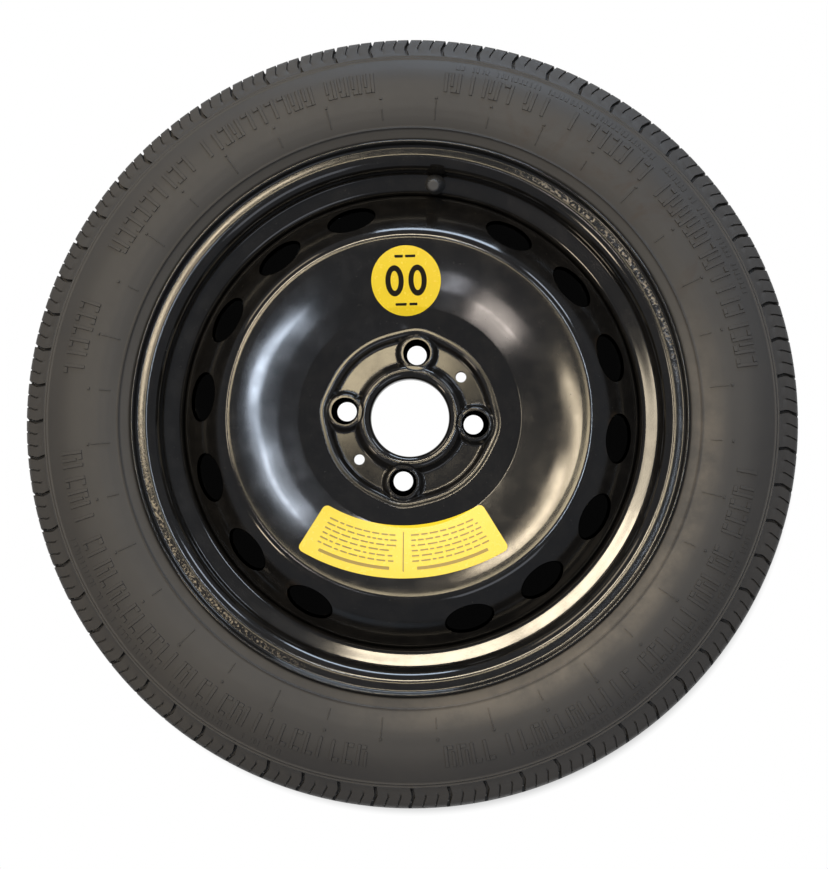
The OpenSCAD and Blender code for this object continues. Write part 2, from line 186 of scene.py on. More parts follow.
class Shape:
    """Points with normals, and faces with any number of corners, gathered piece by piece."""

    def __init__(self):
        self.points, self.normals, self.faces, self.count = [], [], [], 0

    def add(self, points, normals):
        """Adds points and returns their numbers."""
        points, normals = np.asarray(points, float), np.asarray(normals, float)
        ids = np.arange(self.count, self.count + len(points))
        self.points.append(points)
        self.normals.append(normals)
        self.count += len(points)
        return ids

    def quads(self, a, b, c, d):
        self.faces.extend(np.stack([a, b, c, d], -1).reshape(-1, 4).tolist())

    def rows(self, near, far, closed=True):
        """Faces between two rows of points."""
        if closed:
            self.quads(near, far, np.roll(far, -1), np.roll(near, -1))
        else:
            self.quads(near[:-1], far[:-1], far[1:], near[1:])

    def mesh(self, name, material, body="wheel", slot=None, custom=True):
        """Makes the object. custom keeps the given normals, else they come from the faces."""
        pts = np.vstack(self.points) * MM
        nrm = np.vstack(self.normals)
        data = bpy.data.meshes.new(name)
        sizes = np.array([len(f) for f in self.faces])
        corners = np.concatenate([np.asarray(f) for f in self.faces])
        data.vertices.add(len(pts))
        data.vertices.foreach_set("co", pts.ravel())
        data.loops.add(len(corners))
        data.loops.foreach_set("vertex_index", corners.astype(np.int32))
        data.polygons.add(len(sizes))
        data.polygons.foreach_set("loop_start", np.r_[0, np.cumsum(sizes)[:-1]].astype(np.int32))
        data.update(calc_edges=True)
        data.validate()
        data.shade_smooth()
        if custom:
            data.normals_split_custom_set_from_vertices(nrm / np.linalg.norm(nrm, axis=1)[:, None])
        else:
            data.set_sharp_from_angle(angle=SHARP_FROM)
        data.materials.append(material)
        piece = bpy.data.objects.new(name, data)
        bpy.context.scene.collection.objects.link(piece)
        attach(piece, body)
        return piece


class Sheet:
    """A surface place(u, v) over a grid of path places and angles, cut away where keep is negative."""

    def __init__(self, place, count, angles, keep=None, closed=True):
        self.place, self.keep, self.closed = place, keep, closed
        self.us = np.arange(count, dtype=float)
        self.vs = np.asarray(angles, float)
        u, v = np.meshgrid(self.us, self.vs, indexing="ij")
        self.u, self.v = u.ravel(), v.ravel()
        self.polys, self.next = [], {}
        self.side = np.ones(len(self.u)) if keep is None else keep(place(self.u, self.v))
        self._cut()

    def _cut(self):
        """Sorts the cells into whole ones and those that the cut crosses, which keep their inner part."""
        nu, nv = len(self.us), len(self.vs)
        index = np.arange(nu * nv).reshape(nu, nv)
        wrapped = np.hstack([index, index[:, :1]]) if self.closed else index
        corners = [wrapped[:-1, :-1], wrapped[1:, :-1], wrapped[1:, 1:], wrapped[:-1, 1:]]
        cells = np.stack(corners, -1).reshape(-1, 4)
        inside = self.side[cells] > 0
        self.whole = cells[inside.all(1)]
        mixed = cells[inside.any(1) & ~inside.all(1)]
        if not len(mixed):
            return
        edges = np.vstack([mixed[:, [k, (k + 1) % 4]] for k in range(4)])
        edges = edges[(self.side[edges[:, 0]] > 0) != (self.side[edges[:, 1]] > 0)]
        edges = np.unique(np.sort(edges, 1), axis=0)
        u, v = self._crossings(edges)
        first = len(self.u)
        self.u, self.v = np.r_[self.u, u], np.r_[self.v, v]
        self.side = np.r_[self.side, np.zeros(len(u))]
        number = {tuple(e): first + k for k, e in enumerate(edges.tolist())}
        for cell in mixed.tolist():
            self._walk(cell, number)

    def _crossings(self, edges):
        """Where the cut crosses each grid edge, by halving."""
        u0, u1 = self.u[edges[:, 0]], self.u[edges[:, 1]]
        v0, v1 = self.v[edges[:, 0]], self.v[edges[:, 1]]
        v1 = v0 + (v1 - v0 + math.pi) % (2 * math.pi) - math.pi if self.closed else v1
        low, high = np.zeros(len(edges)), np.ones(len(edges))
        sign = np.sign(self.side[edges[:, 0]])
        for _ in range(HALVINGS):
            mid = (low + high) / 2
            same = np.sign(self.keep(self.place(u0 + (u1 - u0) * mid, v0 + (v1 - v0) * mid))) == sign
            low, high = np.where(same, mid, low), np.where(same, high, mid)
        mid = (low + high) / 2
        return u0 + (u1 - u0) * mid, v0 + (v1 - v0) * mid

    def _walk(self, cell, number):
        """Gathers the kept part of one cell, and notes which crossing follows which along the cut."""
        poly, out, back = [], None, None
        for k in range(4):
            a, b = cell[k], cell[(k + 1) % 4]
            if self.side[a] > 0:
                poly.append(a)
            if (self.side[a] > 0) != (self.side[b] > 0):
                c = number[(min(a, b), max(a, b))]
                poly.append(c)
                if self.side[a] > 0:
                    out = c
                else:
                    back = c
        self.polys.append(poly)
        self.next[out] = back

    def loops(self):
        """Closed rows of points along the cuts, in the order in which the kept faces pass them."""
        left, found = dict(self.next), []
        while left:
            at, row = next(iter(left)), []
            while at in left:
                row.append(at)
                at = left.pop(at)
            found.append(np.array(row))
        return found

    def points(self, place=None):
        return (place or self.place)(self.u, self.v)

    def face_normals(self, place=None, du=0.25, dv=0.002):
        """Normals by small steps along the path and round the axle."""
        place = place or self.place
        top = len(self.us) - 1
        a = place(np.clip(self.u + du, 0, top), self.v) - place(np.clip(self.u - du, 0, top), self.v)
        b = place(self.u, self.v + dv) - place(self.u, self.v - dv)
        n = np.cross(a, b)
        return n / np.linalg.norm(n, axis=1)[:, None]

    def into(self, rows, points, normals):
        """Directions along the surface that point into the holes, at the numbered points."""
        p, n, e = points[rows], normals[rows], 0.02
        grad = np.column_stack([
            self.keep(p + [e, 0, 0]) - self.keep(p - [e, 0, 0]),
            self.keep(p + [0, e, 0]) - self.keep(p - [0, e, 0]),
            self.keep(p + [0, 0, e]) - self.keep(p - [0, 0, e]),
        ])
        t = -grad + np.sum(grad * n, 1)[:, None] * n
        return t / np.linalg.norm(t, axis=1)[:, None]


def roll(r, depth, far):
    """Steps (into the hole, down, normal's two shares) of a hole's wall, its edges rolled to radius r."""
    quarter = np.radians(np.linspace(0, 90, 5))
    front = [(r * math.sin(q), r - r * math.cos(q), math.sin(q), math.cos(q)) for q in quarter]
    back = [(r * math.cos(q), depth - r + r * math.sin(q), math.cos(q), -math.sin(q)) for q in quarter]
    return front + back if far else front


def pressed(sheet, back_place, thickness, steps_of, material, name, slot, ends=("flat", "flat")):
    """A closed shell: the sheet, its other side, walls round the cuts, and edges at the ends of the path."""
    shape = Shape()
    front, up = sheet.points(), sheet.face_normals()
    back_up = sheet.face_normals(back_place)
    back = sheet.points(back_place) - thickness * back_up
    used = np.zeros(len(front), bool)
    used[sheet.whole.ravel()] = True
    for poly in sheet.polys:
        used[poly] = True
    number = np.cumsum(used) - 1
    shape.add(front[used], up[used])
    half = shape.count
    shape.add(back[used], -back_up[used])
    shape.faces += number[sheet.whole].tolist() + [number[p].tolist() for p in sheet.polys]
    shape.faces += (number[sheet.whole][:, ::-1] + half).tolist()
    shape.faces += [(number[p][::-1] + half).tolist() for p in sheet.polys]
    for row in sheet.loops():
        wall_round(shape, sheet, row, front, up, number, half, steps_of(front[row].mean(0)))
    last = (len(sheet.us) - 1) * len(sheet.vs)
    for start, style, flip in ((0, ends[0], 1), (last, ends[1], -1)) if ends else ():
        end_round(shape, sheet, start, style, flip, front, up, back, number, half)
    return shape.mesh(name, material, slot=slot)


def wall_round(shape, sheet, row, front, up, number, half, steps):
    """The wall of one hole. That of a bolt seat is round about its own upright axis."""
    toward = sheet.into(row, front, up)
    start, axis = front[row], up[row]
    if is_bolt_seat(start.mean(0)):
        middle, level = start[:, :2].mean(0), np.zeros(len(row))
        toward = np.column_stack([middle - start[:, :2], level])
        toward /= np.linalg.norm(toward, axis=1)[:, None]
        start = np.column_stack([middle - toward[:, :2] * (SEAT_R + SEAT_ROLL), level + BOSS_Z])
        axis = np.tile([0.0, 0.0, 1.0], (len(row), 1))
    near, at = number[row], (0.0, 0.0)
    for k, (t, n, nt, nn) in enumerate(steps):
        # A first step that is the edge of the sheet itself adds no points
        if k == 0 and (t, n) == (0.0, 0.0) and nn > 0.99:
            continue
        points = start + t * toward - n * axis
        far = shape.add(points, nt * toward + nn * axis)
        if (t, n) != at:
            shape.rows(far, near)
        near, at = far, (t, n)
    shape.rows(number[row] + half, near)


def end_round(shape, sheet, start, style, flip, front, up, back, number, half):
    """The edge at one end of the path, flat or half round."""
    row = np.arange(start, start + len(sheet.vs))
    step = len(sheet.vs) if flip > 0 else -len(sheet.vs)
    out = front[row] - front[row + step]
    out -= np.sum(out * up[row], 1)[:, None] * up[row]
    out /= np.linalg.norm(out, axis=1)[:, None]
    middle, reach = (front[row] + back[row]) / 2, (front[row] - back[row]) / 2
    if style == "flat":
        stops = [(1, 0, 0, 1), (-1, 0, 0, 1)]
    else:
        stops = [(math.cos(q), math.sin(q)) * 2 for q in np.radians(np.arange(22.5, 180, 22.5))]
    half_t = np.linalg.norm(reach, axis=1)[:, None]
    near = number[row]
    for k, (a, b, na, nb) in enumerate(stops):
        far = shape.add(middle + a * reach + b * half_t * out, na * reach / half_t + nb * out)
        if style != "flat" or k > 0:
            shape.rows(far, near) if flip > 0 else shape.rows(near, far)
        near = far
    if style != "flat":
        far = number[row] + half
        shape.rows(far, near) if flip > 0 else shape.rows(near, far)


# Materials


class Nodes:
    """A short way to write a node tree: a call adds a node, sets its values and links any sockets."""

    def __init__(self, owner):
        owner.use_nodes = True
        self.tree = owner.node_tree
        self.tree.nodes.clear()

    def __call__(self, kind, out=0, sockets=None, **settings):
        node = self.tree.nodes.new(kind)
        for key, value in settings.items():
            setattr(node, key, value)
        for key, value in (sockets or {}).items():
            if isinstance(value, bpy.types.NodeSocket):
                self.tree.links.new(value, node.inputs[key])
            else:
                node.inputs[key].default_value = value
        return node.outputs[out]

    def math(self, operation, a, b=0.0, c=0.0):
        return self("ShaderNodeMath", operation=operation, sockets={0: a, 1: b, 2: c})

    def steps(self, value, *stops):
        """A ramp with stops (place, grey or colour)."""
        node = self.tree.nodes.new("ShaderNodeValToRGB")
        ramp = node.color_ramp
        while len(ramp.elements) < len(stops):
            ramp.elements.new(0.5)
        for element, (place, colour) in zip(ramp.elements, stops):
            element.position = place
            element.color = (*colour, 1) if isinstance(colour, tuple) else (colour, colour, colour, 1)
        self.tree.links.new(value, node.inputs[0])
        return node.outputs[0]

    def blend(self, factor, a, b, mode="MIX"):
        node = self.tree.nodes.new("ShaderNodeMix")
        node.data_type, node.blend_type = "RGBA", mode
        for key, value in ((0, factor), (6, a), (7, b)):
            if isinstance(value, bpy.types.NodeSocket):
                self.tree.links.new(value, node.inputs[key])
            else:
                node.inputs[key].default_value = (*value, 1) if isinstance(value, tuple) else value
        return node.outputs[2]

    def near(self, value, middle, width):
        """One at the middle, falling smoothly to nothing at the width from it."""
        away = self.math("DIVIDE", self.math("ABSOLUTE", self.math("SUBTRACT", value, middle)), width)
        sockets = {0: away, 1: 0.0, 2: 1.0, 3: 1.0, 4: 0.0}
        return self("ShaderNodeMapRange", interpolation_type="SMOOTHSTEP", sockets=sockets)

    def toward(self, angle, degrees, spread):
        """One towards the given side of the wheel, falling smoothly to nothing at spread degrees from it."""
        facing = self.math("COSINE", self.math("SUBTRACT", angle, math.radians(degrees)))
        low = math.cos(math.radians(spread))
        sockets = {0: facing, 1: low, 2: 1.0, 3: 0.0, 4: 1.0}
        return self("ShaderNodeMapRange", interpolation_type="SMOOTHSTEP", sockets=sockets)

    def noise(self, where, scale, detail=4.0, roughness=0.55, distortion=0.0):
        sockets = {"Vector": where, "Scale": scale, "Detail": detail}
        sockets.update({"Roughness": roughness, "Distortion": distortion})
        return self("ShaderNodeTexNoise", sockets=sockets)


def place_on_part(n):
    """Position on the part in metres, with the distance from the axle and the angle round it."""
    where = n("ShaderNodeTexCoord", out=3)
    split = n.tree.nodes.new("ShaderNodeSeparateXYZ")
    n.tree.links.new(where, split.inputs[0])
    x, y = split.outputs[0], split.outputs[1]
    flat = n("ShaderNodeCombineXYZ", sockets={0: x, 1: y, 2: 0.0})
    radius = n("ShaderNodeVectorMath", out=1, operation="LENGTH", sockets={0: flat})
    angle = n.math("ARCTAN2", y, x)
    return where, radius, angle


def finish_material(n, colour, roughness, bump=None, strength=0.3, distance=0.0003, **fixed):
    shader = n.tree.nodes.new("ShaderNodeBsdfPrincipled")
    for key, value in (("Base Color", colour), ("Roughness", roughness)):
        if isinstance(value, bpy.types.NodeSocket):
            n.tree.links.new(value, shader.inputs[key])
        else:
            shader.inputs[key].default_value = value if not isinstance(value, tuple) else (*value, 1)
    for key, value in fixed.items():
        shader.inputs[key.replace("_", " ")].default_value = value
    if bump is not None:
        node = n.tree.nodes.new("ShaderNodeBump")
        node.inputs["Strength"].default_value = strength
        node.inputs["Distance"].default_value = distance
        n.tree.links.new(bump, node.inputs["Height"])
        n.tree.links.new(node.outputs[0], shader.inputs["Normal"])
    out = n.tree.nodes.new("ShaderNodeOutputMaterial")
    n.tree.links.new(shader.outputs[0], out.inputs[0])


# Distances from the axle of the worn and dirty places, and of the vents with painted light, in metres
SCUFF_AT = 0.2005
PAINTED_LIGHT_AT = 0.1545
SOOT_AT = 0.214
DUST_AT = 0.218
SMEAR_AT = 0.232


def make_paint(name, roughness, ripple, worn=False, painted_light_vents=()):
    """Gloss black paint with fine dust and small marks.

    worn adds the scuffs of the rim's flange. The last argument gives the angles of vents whose walls get
    brown painted light, standing in for lit ground seen through them.
    """
    material = bpy.data.materials.new(name)
    n = Nodes(material)
    where, radius, angle = place_on_part(n)
    dust = n.steps(n.noise(where, 55, 8, 0.7), (0.45, 0.0), (0.8, 1.0))
    specks = n.steps(n.noise(where, 700, 2, 0.5), (0.70, 0.0), (0.78, 1.0))
    colour = n.blend(n.math("MULTIPLY", dust, 0.25), (0.006, 0.0055, 0.005), (0.035, 0.031, 0.026))
    colour = n.blend(n.math("MULTIPLY", specks, 0.12), colour, (0.3, 0.28, 0.24))
    rough = n.math("ADD", n.math("MULTIPLY", dust, 0.05), roughness)
    if worn:
        flange = n.near(radius, SCUFF_AT, 0.003)
        places = n.math("MAXIMUM", n.toward(angle, 38, 34), n.toward(angle, -148, 40))
        grit = n.steps(n.noise(where, 520, 3, 0.6), (0.5, 0.0), (0.62, 1.0))
        scuff = n.math("MULTIPLY", n.math("MULTIPLY", flange, places), grit)
        colour = n.blend(n.math("MULTIPLY", scuff, 0.8), colour, (0.34, 0.27, 0.17))
        rough = n.math("ADD", rough, n.math("MULTIPLY", scuff, 0.3))
    # Painted light: brown patches on the walls of the vents at these angles stand in for lit ground seen
    # through them.
    for degrees in painted_light_vents:
        spot = n.math("MULTIPLY", n.near(radius, PAINTED_LIGHT_AT, 0.009), n.toward(angle, degrees, 7))
        blotch = n.steps(n.noise(where, 130, 5, 0.7), (0.42, 0.0), (0.6, 1.0))
        spot = n.math("MULTIPLY", spot, blotch)
        colour = n.blend(n.math("MULTIPLY", spot, 0.85), colour, (0.075, 0.045, 0.02))
        rough = n.math("ADD", rough, n.math("MULTIPLY", spot, 0.35))
    finish_material(n, colour, rough, n.noise(where, 90, 3, 0.5), ripple, 0.0003)
    return material


def make_rubber(name):
    """Dull moulded rubber with dust, and a finer grain."""
    material = bpy.data.materials.new(name)
    n = Nodes(material)
    where, radius, angle = place_on_part(n)
    cloud = n.noise(where, 9, 5, 0.6)
    fine = n.noise(where, 160, 4, 0.6)
    cloudy = n.steps(cloud, (0.3, 0.0), (0.7, 1.0))
    colour = n.blend(cloudy, (0.026, 0.0255, 0.026), (0.038, 0.036, 0.034))
    colour = n.blend(n.math("MULTIPLY", fine, 0.25), colour, (0.06, 0.055, 0.049))
    bead = n.near(radius, DUST_AT, 0.022)
    patch = n.steps(n.noise(where, 26, 5, 0.65), (0.35, 0.2), (0.6, 1.0))
    dust = n.math("MULTIPLY", n.math("MULTIPLY", bead, patch), n.toward(angle, -42, 75))
    colour = n.blend(n.math("MULTIPLY", dust, 0.6), colour, (0.17, 0.145, 0.115))
    soot = n.math("MULTIPLY", n.near(radius, SOOT_AT, 0.012), n.toward(angle, 105, 95))
    colour = n.blend(n.math("MULTIPLY", soot, 0.75), colour, (0.012, 0.011, 0.010))
    streak = n.steps(n.noise(where, 17, 6, 0.7, 1.2), (0.52, 0.0), (0.64, 1.0))
    smeared = n.math("MULTIPLY", n.near(radius, SMEAR_AT, 0.024), n.toward(angle, 48, 38))
    smear = n.math("MULTIPLY", smeared, streak)
    colour = n.blend(n.math("MULTIPLY", smear, 0.7), colour, (0.03, 0.018, 0.011))
    rough = n.math("ADD", n.math("MULTIPLY", fine, 0.15), 0.48)
    finish_material(n, colour, rough, n.noise(where, 420, 3, 0.6), 0.12, 0.0003, Specular_IOR_Level=0.4)
    return material


def make_plain(name, colour, roughness, metallic=0.0, mottle=0.15, scale=300, gloss=0.5):
    """A finish with a light mottle in its colour and gloss."""
    material = bpy.data.materials.new(name)
    n = Nodes(material)
    where = place_on_part(n)[0]
    fine = n.noise(where, scale, 3, 0.6)
    dark = tuple(c * (1 - mottle) for c in colour)
    tone = n.blend(fine, dark, colour)
    rough = n.math("ADD", n.math("MULTIPLY", fine, 0.12), roughness)
    finish_material(n, tone, rough, fine, 0.08, 0.0002, Metallic=metallic, Specular_IOR_Level=gloss)
    return material


# The disc's paint gets brown painted light in the vents at these three angles.
paint = make_paint("black_paint", 0.09, 0.012, painted_light_vents=(17, -5, -120))
rim_paint = make_paint("rim_paint", 0.1, 0.008, worn=True)
rubber = make_rubber("tyre_rubber")
yellow = make_plain("yellow_film", (0.84, 0.61, 0.008), 0.2, mottle=0.04)
ink = make_plain("black_ink", (0.01, 0.008, 0.004), 0.5, gloss=0.1)
thin_ink = make_plain("thin_ink", (0.34, 0.22, 0.006), 0.3)


# Wheel disc

BOLT_ANGLES = [CLOCK + k * 2 * math.pi / BOLT_COUNT for k in range(BOLT_COUNT)]
BOLT_XY = np.array([[BOLT_R * math.cos(a), BOLT_R * math.sin(a)] for a in BOLT_ANGLES])
PILOT_XY = BOLT_R * np.array([math.cos(PILOT_ANGLE), math.sin(PILOT_ANGLE)]) * np.array([[1], [-1]])
VENT_ANGLES = [CLOCK + k * 2 * math.pi / VENT_PLACES for k in range(1, VENT_PLACES) if k != VENT_PLACES // 2]
FLANK_SLOPE = (CROWN_Z - FLANK_FOOT_Z) / (DISC_R - CROWN_R)
VENT_ROLL = 1.1
SEAT_ROLL = 0.45
SEAT_SLOPE = math.radians(30)
PILOT_ROLL = 0.35
# The crest ring's bulge at each bolt, and the flat ring that is faced round each seat
BULGE = 2.4
FACED_R = 13.2
FACED_SLOPE = 2.5


def disc_spacing(r):
    """The longest segment wanted on the disc's path."""
    return 0.9 if r < 68 else 5.0 if r < 130 else 1.6 if r < 171 else 4.0


# The bowl from its foot to the crown, which grows flatter all the way
BOWL = [
    (BOWL_R + 3, BOWL_Z + 1.3, 4),
    (98, DOME_Z - 1.92, 300),
    (112, DOME_Z + 0.22, 300),
    (124, DOME_Z + 1.82, 300),
    (131, DOME_Z + 2.56, 150),
    (CROWN_R, CROWN_Z - 0.73, 10),
]
disc_path = rounded([
    (BORE_R, HUB_Z, 0),
    (BORE_R, CREST_Z, 5.4),
    (CREST_R, CREST_Z, 4.2),
    (BOLT_R - 7, FLOOR_Z, 2.5),
    (BOLT_R + 8.5, FLOOR_Z, 2.5),
    (RING_IN_R, RING_Z, 4.2),
    (RING_OUT_R, RING_Z, 3),
    *BOWL,
    (DISC_R, FLANK_FOOT_Z, 9),
    (DISC_R, DISC_EDGE_Z, 0),
], 9, disc_spacing)


def disc_place(u, v, soft=1.0, lift=0.0, path=disc_path):
    """The front of the disc. soft widens the blends of the bosses, and lift raises the surface."""
    k = np.arange(len(path))
    r, z = np.interp(u, k, path[:, 0]), np.interp(u, k, path[:, 1])
    bulge = BULGE * bell(turn_gap(v, BOLT_ANGLES), 0.2) * np.interp(r, [54, 60, 66, 78], [0, 1, 1, 0])
    r = r + bulge
    x, y, seat = r * np.cos(v), r * np.sin(v), np.full_like(z, BOSS_Z)
    gap = nearest(np.column_stack([x, y]), BOLT_XY)
    near = (r > BORE_R + 1.5) & (r < 72)
    taper = (BOSS_Z - FLOOR_Z) / (BOSS_FOOT - BOSS_TOP)
    boss = smooth_min(seat, BOSS_Z - (gap - BOSS_TOP) * taper, 1.6 * soft)
    faced = smooth_max(BOSS_Z + np.maximum(gap - FACED_R, 0) * FACED_SLOPE, seat, 0.6)
    raised = smooth_min(smooth_max(z, boss, 1.3 * soft), faced, 0.8 * soft)
    z = np.where(near & (gap < 24), raised, z)
    return np.column_stack([x, y, z + lift])


def vent_side(p):
    """Distance-like measure outside the vents, zero on their edges, before the edges roll in."""
    angle = np.arctan2(p[:, 1], p[:, 0])
    gap = turn_gap(angle, VENT_ANGLES)
    r = np.hypot(p[:, 0], p[:, 1])
    across = (r * np.cos(gap) - VENT_R) * math.hypot(1, FLANK_SLOPE)
    along = r * np.sin(gap)
    a, b = VENT_WIDTH / 2 + VENT_ROLL, VENT_LENGTH / 2 + VENT_ROLL
    return (np.hypot(across / a, along / b) - 1) * a


def nearest(p, places):
    """Distance from each point to the nearest of the places."""
    return np.hypot(p[:, 0, None] - places[:, 0], p[:, 1, None] - places[:, 1]).min(1)


def disc_side(p):
    """Positive where the disc has sheet, and zero on the edges of its holes."""
    to_bolt = nearest(p, BOLT_XY) - SEAT_R - SEAT_ROLL
    to_pilot = nearest(p, PILOT_XY) - PILOT_R - PILOT_ROLL
    return np.minimum(np.minimum(to_bolt, to_pilot), vent_side(p))


def is_bolt_seat(middle):
    """Whether the hole whose middle is given holds a bolt."""
    return nearest(middle[None], BOLT_XY)[0] < SEAT_R


def disc_steps(middle):
    """The wall of the hole whose middle is given."""
    if math.hypot(middle[0], middle[1]) > CROWN_R:
        return roll(VENT_ROLL, DISC_T, True)
    if not is_bolt_seat(middle):
        return roll(PILOT_ROLL, DISC_T, True)
    mouth = SEAT_ROLL
    wall = mouth + SEAT_R - BOLT_HOLE_R
    s, c = math.sin(SEAT_SLOPE), math.cos(SEAT_SLOPE)
    low = SEAT_DEPTH + 2
    return roll(mouth, DISC_T, False)[:4] + [
        (mouth, mouth * 0.6, c, s),
        (wall, SEAT_DEPTH, c, s),
        (wall, SEAT_DEPTH, 1, 0),
        (wall, low, 1, 0),
        (wall, low, 0, -1),
        (0.3, low, 0, -1),
        (0.3, low, -1, 0),
        (0.0, DISC_T, -1, 0),
    ]


disc_angles = np.linspace(0, 2 * math.pi, 344, endpoint=False)
disc_sheet = Sheet(disc_place, len(disc_path), disc_angles, disc_side)
disc = pressed(
    disc_sheet, lambda u, v: disc_place(u, v, 2.2), DISC_T, disc_steps, paint, "pressed_disc", "black_paint"
)
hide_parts("wheel_disc")


# Rim

SEAT_TOP_Z = 34
WELL_TOP_Z = 30.5
TAPER = math.tan(math.radians(5))
SEAT_TOP_R = SEAT_BEAD_R - (HALF_RIM - SEAT_TOP_Z) * TAPER

# The tyre's side from the outboard flange to the inboard one, so that the sheet's up side faces the tyre
rim_path = rounded([
    (FLANGE_R, FLANGE_Z, 0),
    (FLANGE_R, HALF_RIM, LIP_CURL),
    (SEAT_BEAD_R, HALF_RIM, LIP_BEND),
    (SEAT_TOP_R, SEAT_TOP_Z, 5),
    (WELL_R, WELL_TOP_Z, 4),
    (WELL_R, -2, 10),
    (SEAT_BEAD_R - 3, -24, 10),
    (SEAT_BEAD_R - (HALF_RIM - 32) * TAPER, -32, 20),
    (SEAT_BEAD_R, -HALF_RIM, LIP_BEND),
    (FLANGE_R, -HALF_RIM, LIP_CURL),
    (FLANGE_R, -FLANGE_Z, 0),
], 9, lambda r: 3.5)


def rim_place(u, v):
    k = np.arange(len(rim_path))
    r, z = np.interp(u, k, rim_path[:, 0]), np.interp(u, k, rim_path[:, 1])
    return np.column_stack([r * np.cos(v), r * np.sin(v), z])


VALVE_XYZ = np.array([VALVE_R * math.cos(CLOCK), VALVE_R * math.sin(CLOCK), WELL_TOP_Z + 1.4])


def rim_side(p):
    return np.linalg.norm(p - VALVE_XYZ, axis=1) - VALVE_HOLE_R - 0.1


rim_sheet = Sheet(rim_place, len(rim_path), np.linspace(0, 2 * math.pi, 360, endpoint=False), rim_side)
rim = pressed(
    rim_sheet, rim_place, RIM_T, lambda m: [], rim_paint, "rolled_rim", "black_paint", ("round", "round")
)
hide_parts("rim")


# Tyre

PITCH = 2 * math.pi / BLOCKS
SECTION = SHOULDER_R - FLANGE_R
BEAD_LINE_R = 216.4
SLOT_DEPTH = 4.0
SIPE_DEPTH = 1.6
SIPE_WIDTH = 0.9
SLOT_WALL = 0.0007
SIPE_WALL = 0.0008


def cut_marks(middle, width, wall, slot, sipe):
    """Angles of one cut across the shoulder, top edge to top edge, with its shares of the two depths."""
    half = width / 2 / TYRE_R
    marks = [(-half - wall, 0, 0), (-half, slot, sipe), (half, slot, sipe), (half + wall, 0, 0)]
    return [(middle + angle, *shares) for angle, *shares in marks]


# The angles within one pitch. Rows away from the shoulder have every fourth of them.
MARKS = np.array(
    cut_marks(0, SLOT_WIDTH, SLOT_WALL, 1, 0)
    + cut_marks(PITCH / 3, SIPE_WIDTH, SIPE_WALL, 0, 1)
    + cut_marks(2 * PITCH / 3, SIPE_WIDTH, SIPE_WALL, 0, 1)
)
COARSE = np.arange(2, len(MARKS), 4)


def tyre_spacing(r):
    """The longest segment wanted on the tyre's side, short at its raised lines."""
    if abs(r - DECOR_R) < 3 or abs(r - BEAD_LINE_R) < 2.5:
        return 0.6
    return 2.7 if r > DECOR_R else 3.4


tyre_half = rounded([
    (SEAT_BEAD_R + 0.15, 37, 0),
    (SEAT_BEAD_R + 0.15, HALF_RIM - 0.15, LIP_BEND + 0.2),
    (SEAT_BEAD_R + 13.4, HALF_RIM - 0.15, CURL + 0.15),
    (FLANGE_R + 0.6, FLANGE_Z - 2.1, 3),
    (FLANGE_R + 0.303 * SECTION, HALF_TYRE + 0.5, 0.74 * SECTION),
    (FLANGE_R + 0.624 * SECTION, HALF_TYRE - 1, 0.5 * SECTION),
    (SHOULDER_R - 0.152 * SECTION, TREAD_HALF + 5.5, 0.15 * SECTION),
    (SHOULDER_R, TREAD_HALF, 0.074 * SECTION),
    (SHOULDER_R + 0.1, TREAD_HALF - 8, 0),
], 10, tyre_spacing)


def tread_half():
    """The upper half of the tread, with its round grooves, down to the middle plane."""
    edges = []
    for middle in (GROOVE_Z, 0):
        edges += [middle + GROOVE_WIDTH / 2, middle - GROOVE_WIDTH / 2]
    points = [(z, 0) for z in (35, 33, 31, 29.5, 28, 26.5, 24)]
    points += [(edges[0], 0), (edges[0] - 0.2, 1), (edges[1] + 0.2, 1), (edges[1], 0), (9.5, 0)]
    points += [(edges[2], 0), (edges[2] - 0.2, 1), (0.01, 1)]
    crown = [TYRE_R - CROWN_DROP * (z / TREAD_HALF) ** 2 for z, _ in points]
    return np.array([(c - deep * TREAD_DEPTH, z) for c, (z, deep) in zip(crown, points)])


carcass_half = rounded([
    (SEAT_BEAD_R + 0.15, 37, 0),
    (SEAT_BEAD_R + 8, 39, 6),
    (FLANGE_R + 4, HALF_TYRE - SIDEWALL_T - 4, 12),
    (FLANGE_R + 0.445 * SECTION, HALF_TYRE - SIDEWALL_T, 0.74 * SECTION),
    (TYRE_R - TREAD_DEPTH - UNDERTREAD, TREAD_HALF - 8, 0.22 * SECTION),
    (TYRE_R - TREAD_DEPTH - UNDERTREAD, 0.01, 0),
], 10, lambda r: 7.0)
outer_half = np.vstack([tyre_half, tread_half()])
tyre_path = np.vstack([
    outer_half,
    outer_half[::-1] * [1, -1],
    carcass_half[1:] * [1, -1],
    carcass_half[::-1][:-1],
])
OUTER_ROWS = 2 * len(outer_half)


def wall_height(r, z):
    """Height of the raised rings on the sidewall."""
    if abs(z) < TREAD_HALF:
        return 0.0
    decor = bell(r - DECOR_R + 1.1, 0.55) + bell(r - DECOR_R - 1.1, 0.55)
    return 0.75 * decor + 0.8 * bell(r - BEAD_LINE_R, 0.7)


def ramp(x, low, high):
    """Zero under low and one over high, with a smooth rise between."""
    t = np.clip((x - low) / (high - low), 0, 1)
    return t * t * (3 - 2 * t)


def slot_kink(r):
    """Angle by which the slots bend, towards their middle and back."""
    return 0.011 * np.interp(r, [DECOR_R, 280, SHOULDER_R], [0.4, 1.0, 0.0])


